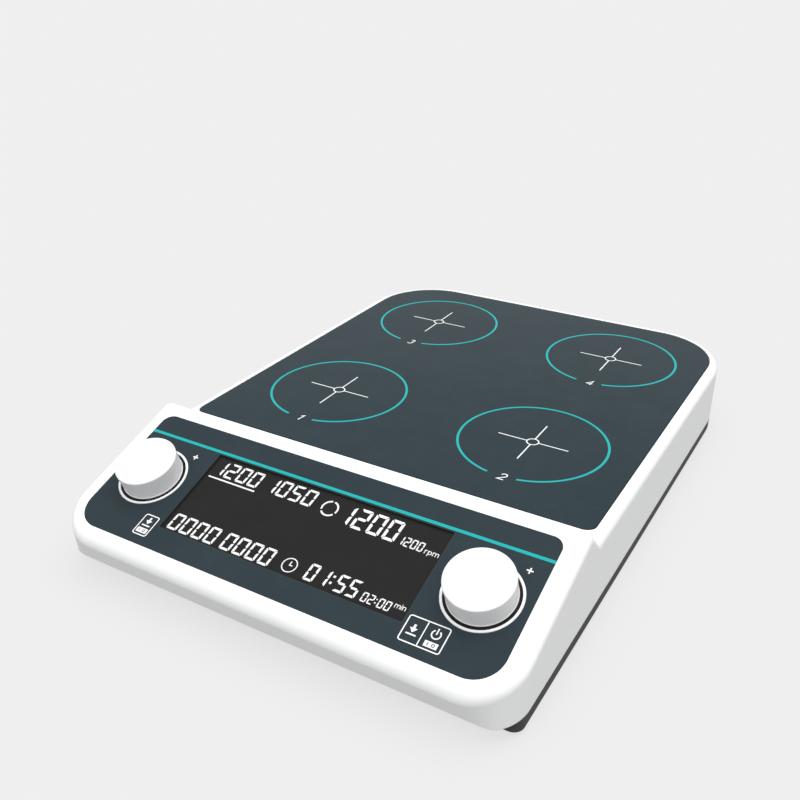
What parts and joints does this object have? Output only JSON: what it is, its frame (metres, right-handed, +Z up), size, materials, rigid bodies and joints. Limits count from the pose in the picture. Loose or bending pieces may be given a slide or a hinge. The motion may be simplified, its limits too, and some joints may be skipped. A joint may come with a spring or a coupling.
{
  "type": "magnetic stirrer",
  "caption": "Low multi-position magnetic stirrer: flat printed stirring plate, raised sloping control head with a display and push-and-turn knobs, and magnet rotors under the plate.",
  "frame": {"origin": "on the bench, under the middle of the object's box", "axes": "+Z up, +Y to the back, +X to the right as seen from the front"},
  "size_m": [0.21, 0.3, 0.0494],
  "materials": {
    "housing": "satin",
    "base": "satin",
    "plate": "matte",
    "overlay": "matte",
    "window": "gloss",
    "lcd": "gloss",
    "knob": "satin",
    "white_inner": "satin",
    "board": "satin",
    "encoder": "satin",
    "plunger": "satin",
    "steel": "brushed",
    "motor": "satin",
    "bush": "satin",
    "magnet": "plated",
    "lead": "satin",
    "ribbon": "satin",
    "inlet": "satin",
    "rubber": "matte",
    "screws": "satin"
  },
  "bodies": {
    "case": {"top_housing": "housing", "base_tray": "base", "stirring_plate": "plate", "plate_seal": "rubber", "control_overlay": "overlay", "display_window": "window", "display_panel": "lcd", "display_frame": "white_inner", "control_board": "board", "control_board_screws": "screws", "left_encoder": "encoder", "right_encoder": "encoder", "motor_bracket": "steel", "bracket_screws": "screws", "motor_screws": "screws", "motor_bushes": "bush", "motor_leads": "lead", "main_board": "board", "main_board_screws": "screws", "power_inlet": "inlet", "ribbon_cable": "ribbon", "rubber_feet": "rubber", "case_screws": "screws", "motor_1": "motor", "motor_2": "motor", "motor_3": "motor", "motor_4": "motor"},
    "left_push": {"left_plunger": "plunger"},
    "right_push": {"right_plunger": "plunger"},
    "left_turn": {"left_shaft": "steel", "left_knob": "knob"},
    "right_turn": {"right_shaft": "steel", "right_knob": "knob"},
    "rotor_1": {"rotor_shaft_1": "steel", "magnet_holder_1": "white_inner", "magnets_1": "magnet"},
    "rotor_2": {"rotor_shaft_2": "steel", "magnet_holder_2": "white_inner", "magnets_2": "magnet"},
    "rotor_3": {"rotor_shaft_3": "steel", "magnet_holder_3": "white_inner", "magnets_3": "magnet"},
    "rotor_4": {"rotor_shaft_4": "steel", "magnet_holder_4": "white_inner", "magnets_4": "magnet"}
  },
  "joints": [
    {"name": "left_push_travel", "type": "slide", "parent": "case", "child": "left_push", "axis": [0, 0.3305, -0.9438], "range_m": [0, 0.0005], "stiffness_N_per_m": 6000},
    {"name": "left_knob_turn", "type": "hinge", "parent": "left_push", "child": "left_turn", "pos_m": [-0.0785, -0.11491, 0.03569], "axis": [0, -0.3305, 0.9438], "continuous": true},
    {"name": "right_push_travel", "type": "slide", "parent": "case", "child": "right_push", "axis": [0, 0.3305, -0.9438], "range_m": [0, 0.0005], "stiffness_N_per_m": 6000},
    {"name": "right_knob_turn", "type": "hinge", "parent": "right_push", "child": "right_turn", "pos_m": [0.0785, -0.11491, 0.03569], "axis": [0, -0.3305, 0.9438], "continuous": true},
    {"name": "rotor_1_spin", "type": "hinge", "parent": "case", "child": "rotor_1", "pos_m": [-0.0525, -0.01048, 0.025], "axis": [0, 0, 1], "continuous": true},
    {"name": "rotor_2_spin", "type": "hinge", "parent": "case", "child": "rotor_2", "pos_m": [0.0525, -0.01048, 0.025], "axis": [0, 0, 1], "continuous": true},
    {"name": "rotor_3_spin", "type": "hinge", "parent": "case", "child": "rotor_3", "pos_m": [-0.0525, 0.0946, 0.025], "axis": [0, 0, 1], "continuous": true},
    {"name": "rotor_4_spin", "type": "hinge", "parent": "case", "child": "rotor_4", "pos_m": [0.0525, 0.0946, 0.025], "axis": [0, 0, 1], "continuous": true}
  ]
}
